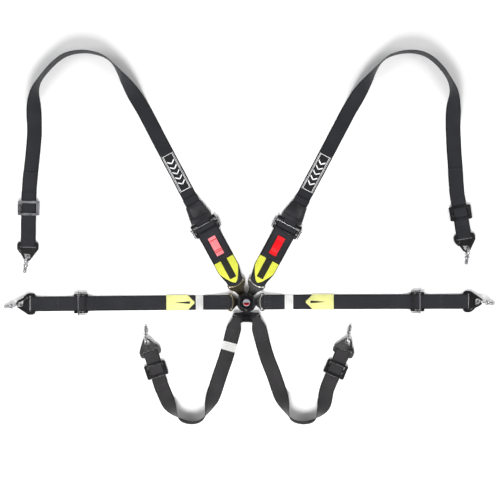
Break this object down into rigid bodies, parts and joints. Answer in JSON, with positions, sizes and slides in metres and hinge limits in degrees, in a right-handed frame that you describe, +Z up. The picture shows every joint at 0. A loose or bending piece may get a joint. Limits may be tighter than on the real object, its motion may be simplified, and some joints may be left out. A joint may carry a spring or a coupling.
{
  "type": "racing harness",
  "caption": "Six-point motorsport harness with a rotary cam-lock buckle, webbing straps, adjusters, slides, and clip-in hooks with eye bolts",
  "frame": {"origin": "on the surface that the harness is laid on, under the middle of the buckle's back plate", "axes": "+X along the right lap strap, +Y towards the shoulder straps, +Z up from the surface"},
  "size_m": [1.6652, 1.2538, 0.0502],
  "materials": {
    "webbing": "woven polyester webbing, charcoal",
    "red_webbing": "red woven tab",
    "rubber": "moulded, slightly shiny",
    "black_steel": "black gloss coated steel",
    "black_gloss": "glossy black moulding",
    "polished_steel": "polished stamped steel",
    "chrome": "bright plated steel",
    "steel": "machined steel",
    "silver": "satin disc"
  },
  "bodies": {
    "buckle": {"buckle_housing": "black_steel", "buckle_back_plate": "black_steel", "return_spring": "steel", "lap_left_tongue": "polished_steel", "lap_left_inner_webbing": "webbing", "lap_left_adjuster_frame": "black_steel", "lap_left_outer_webbing": "webbing", "lap_left_hook_plate": "black_steel"},
    "knob": {"release_knob": "black_gloss", "knob_badge": "silver", "cam_plate": "steel"},
    "latch": {"latch_pin_ring": "steel"},
    "shoulder_left_strap": {"shoulder_left_tongue": "polished_steel", "shoulder_left_lower_webbing": "webbing", "shoulder_left_adjuster_frame": "black_steel", "shoulder_left_pull_tab": "red_webbing", "shoulder_left_cuff": "rubber", "shoulder_left_upper_webbing": "webbing", "shoulder_left_hook_plate": "black_steel"},
    "shoulder_right_strap": {"shoulder_right_tongue": "polished_steel", "shoulder_right_lower_webbing": "webbing", "shoulder_right_adjuster_frame": "black_steel", "shoulder_right_pull_tab": "red_webbing", "shoulder_right_cuff": "rubber", "shoulder_right_upper_webbing": "webbing", "shoulder_right_hook_plate": "black_steel"},
    "lap_right_strap": {"lap_right_tongue": "polished_steel", "lap_right_inner_webbing": "webbing", "lap_right_adjuster_frame": "black_steel", "lap_right_outer_webbing": "webbing", "lap_right_hook_plate": "black_steel"},
    "crotch_straps": {"crotch_tongue": "polished_steel", "crotch_left_webbing": "webbing", "crotch_left_hook_plate": "black_steel", "crotch_right_webbing": "webbing", "crotch_right_hook_plate": "black_steel"},
    "lap_left_adjuster_bar": {"lap_left_adjuster_bar": "steel"},
    "lap_left_adjuster_bail": {"lap_left_adjuster_bail": "chrome"},
    "lap_right_adjuster_bar": {"lap_right_adjuster_bar": "steel"},
    "lap_right_adjuster_bail": {"lap_right_adjuster_bail": "chrome"},
    "shoulder_left_adjuster_bar": {"shoulder_left_adjuster_bar": "steel"},
    "shoulder_left_adjuster_bail": {"shoulder_left_adjuster_bail": "chrome"},
    "shoulder_right_adjuster_bar": {"shoulder_right_adjuster_bar": "steel"},
    "shoulder_right_adjuster_bail": {"shoulder_right_adjuster_bail": "chrome"},
    "shoulder_left_slide": {"shoulder_left_slide": "black_steel"},
    "shoulder_right_slide": {"shoulder_right_slide": "black_steel"},
    "crotch_left_slide": {"crotch_left_slide": "black_steel"},
    "crotch_right_slide": {"crotch_right_slide": "black_steel"},
    "lap_left_hook_gate": {"lap_left_hook_gate": "black_steel"},
    "lap_left_eye_bolt": {"lap_left_eye_bolt": "chrome"},
    "lap_right_hook_gate": {"lap_right_hook_gate": "black_steel"},
    "lap_right_eye_bolt": {"lap_right_eye_bolt": "chrome"},
    "shoulder_left_hook_gate": {"shoulder_left_hook_gate": "black_steel"},
    "shoulder_left_eye_bolt": {"shoulder_left_eye_bolt": "chrome"},
    "shoulder_right_hook_gate": {"shoulder_right_hook_gate": "black_steel"},
    "shoulder_right_eye_bolt": {"shoulder_right_eye_bolt": "chrome"},
    "crotch_left_hook_gate": {"crotch_left_hook_gate": "black_steel"},
    "crotch_left_eye_bolt": {"crotch_left_eye_bolt": "chrome"},
    "crotch_right_hook_gate": {"crotch_right_hook_gate": "black_steel"},
    "crotch_right_eye_bolt": {"crotch_right_eye_bolt": "chrome"}
  },
  "joints": [
    {"name": "knob_turn", "type": "hinge", "parent": "buckle", "child": "knob", "pos_m": [0, 0, 0.03], "axis": [0, 0, 1], "range_deg": [0, 35], "stiffness_Nm_per_rad": 0.3},
    {"name": "latch_lift", "type": "slide", "parent": "buckle", "child": "latch", "axis": [0, 0, 1], "range_m": [0, 0.0022]},
    {"name": "shoulder_left_release", "type": "slide", "parent": "buckle", "child": "shoulder_left_strap", "axis": [-0.4772, 0.8788, 0], "range_m": [0, 0.03]},
    {"name": "shoulder_right_release", "type": "slide", "parent": "buckle", "child": "shoulder_right_strap", "axis": [0.4772, 0.8788, 0], "range_m": [0, 0.03]},
    {"name": "lap_right_release", "type": "slide", "parent": "buckle", "child": "lap_right_strap", "axis": [1, 0.0027, 0], "range_m": [0, 0.03]},
    {"name": "crotch_release", "type": "slide", "parent": "buckle", "child": "crotch_straps", "axis": [0, -1, 0], "range_m": [0, 0.03]},
    {"name": "lap_left_bar_slide", "type": "slide", "parent": "buckle", "child": "lap_left_adjuster_bar", "axis": [1, 0.0091, 0], "range_m": [0, 0.003]},
    {"name": "lap_left_bail_lift", "type": "hinge", "parent": "buckle", "child": "lap_left_adjuster_bail", "pos_m": [-0.57058, -0.00517, 0.0085], "axis": [0.0091, -1, 0], "range_deg": [0, 70]},
    {"name": "lap_right_bar_slide", "type": "slide", "parent": "lap_right_strap", "child": "lap_right_adjuster_bar", "axis": [-1, -0.0027, 0], "range_m": [0, 0.003]},
    {"name": "lap_right_bail_lift", "type": "hinge", "parent": "lap_right_strap", "child": "lap_right_adjuster_bail", "pos_m": [0.5886, 0.0016, 0.0085], "axis": [-0.0027, 1, 0], "range_deg": [0, 70]},
    {"name": "shoulder_left_bar_slide", "type": "slide", "parent": "shoulder_left_strap", "child": "shoulder_left_adjuster_bar", "axis": [0.4772, -0.8788, 0], "range_m": [0, 0.003]},
    {"name": "shoulder_left_bail_lift", "type": "hinge", "parent": "shoulder_left_strap", "child": "shoulder_left_adjuster_bail", "pos_m": [-0.14324, 0.26382, 0.0085], "axis": [-0.8788, -0.4772, 0], "range_deg": [0, 70]},
    {"name": "shoulder_right_bar_slide", "type": "slide", "parent": "shoulder_right_strap", "child": "shoulder_right_adjuster_bar", "axis": [-0.4772, -0.8788, 0], "range_m": [0, 0.003]},
    {"name": "shoulder_right_bail_lift", "type": "hinge", "parent": "shoulder_right_strap", "child": "shoulder_right_adjuster_bail", "pos_m": [0.142, 0.26154, 0.0085], "axis": [-0.8788, 0.4772, 0], "range_deg": [0, 70]},
    {"name": "shoulder_left_slide_travel", "type": "slide", "parent": "shoulder_left_strap", "child": "shoulder_left_slide", "axis": [-0.0209, -0.9998, 0], "range_m": [-0.022, 0.02]},
    {"name": "shoulder_right_slide_travel", "type": "slide", "parent": "shoulder_right_strap", "child": "shoulder_right_slide", "axis": [0.1564, -0.9877, 0], "range_m": [-0.022, 0.02]},
    {"name": "crotch_left_slide_travel", "type": "slide", "parent": "crotch_straps", "child": "crotch_left_slide", "axis": [-0.309, 0.9511, 0], "range_m": [-0.018, 0.005]},
    {"name": "crotch_right_slide_travel", "type": "slide", "parent": "crotch_straps", "child": "crotch_right_slide", "axis": [0.3955, 0.9184, 0], "range_m": [-0.018, 0.005]},
    {"name": "lap_left_gate_turn", "type": "hinge", "parent": "buckle", "child": "lap_left_hook_gate", "pos_m": [-0.7443, 0.0165, 0.00938], "axis": [0.1219, 0, 0.9925], "range_deg": [0, 14], "stiffness_Nm_per_rad": 0.03},
    {"name": "lap_left_eye_bolt_swing", "type": "hinge", "parent": "buckle", "child": "lap_left_eye_bolt", "pos_m": [-0.7664, -0.0095, 0.0105], "axis": [0, 0, 1], "range_deg": [-32.5, 7.5]},
    {"name": "lap_right_gate_turn", "type": "hinge", "parent": "lap_right_strap", "child": "lap_right_hook_gate", "pos_m": [0.7633, -0.021, 0.00938], "axis": [-0.1219, 0, 0.9925], "range_deg": [0, 14], "stiffness_Nm_per_rad": 0.03},
    {"name": "lap_right_eye_bolt_swing", "type": "hinge", "parent": "lap_right_strap", "child": "lap_right_eye_bolt", "pos_m": [0.7854, 0.005, 0.0105], "axis": [0, 0, 1], "range_deg": [-13, 27]},
    {"name": "shoulder_left_gate_turn", "type": "hinge", "parent": "shoulder_left_strap", "child": "shoulder_left_hook_gate", "pos_m": [-0.76557, 0.17718, 0.00938], "axis": [0.0026, 0.1218, 0.9925], "range_deg": [0, 14], "stiffness_Nm_per_rad": 0.03},
    {"name": "shoulder_left_eye_bolt_swing", "type": "hinge", "parent": "shoulder_left_strap", "child": "shoulder_left_eye_bolt", "pos_m": [-0.74003, 0.15455, 0.0105], "axis": [0, 0, 1], "range_deg": [-12, 28]},
    {"name": "shoulder_right_gate_turn", "type": "hinge", "parent": "shoulder_right_strap", "child": "shoulder_right_hook_gate", "pos_m": [0.71905, 0.20143, 0.00938], "axis": [-0.0191, 0.1204, 0.9925], "range_deg": [0, 14], "stiffness_Nm_per_rad": 0.03},
    {"name": "shoulder_right_eye_bolt_swing", "type": "hinge", "parent": "shoulder_right_strap", "child": "shoulder_right_eye_bolt", "pos_m": [0.74819, 0.18368, 0.0105], "axis": [0, 0, 1], "range_deg": [-14, 26]},
    {"name": "crotch_left_gate_turn", "type": "hinge", "parent": "crotch_straps", "child": "crotch_left_hook_gate", "pos_m": [-0.30856, -0.14993, 0.00938], "axis": [0.0377, -0.1159, 0.9925], "range_deg": [0, 14], "stiffness_Nm_per_rad": 0.03},
    {"name": "crotch_left_eye_bolt_swing", "type": "hinge", "parent": "crotch_straps", "child": "crotch_left_eye_bolt", "pos_m": [-0.34012, -0.13695, 0.0105], "axis": [0, 0, 1], "range_deg": [-9, 31]},
    {"name": "crotch_right_gate_turn", "type": "hinge", "parent": "crotch_straps", "child": "crotch_right_hook_gate", "pos_m": [0.35542, -0.16402, 0.00938], "axis": [-0.0482, -0.1119, 0.9925], "range_deg": [0, 14], "stiffness_Nm_per_rad": 0.03},
    {"name": "crotch_right_eye_bolt_swing", "type": "hinge", "parent": "crotch_straps", "child": "crotch_right_eye_bolt", "pos_m": [0.34029, -0.13344, 0.0105], "axis": [0, 0, 1], "range_deg": [-36, 4]}
  ],
  "couplings": [
    {"joint": "latch_lift", "follows": "knob_turn", "m_per_rad": 0.0036}
  ]
}
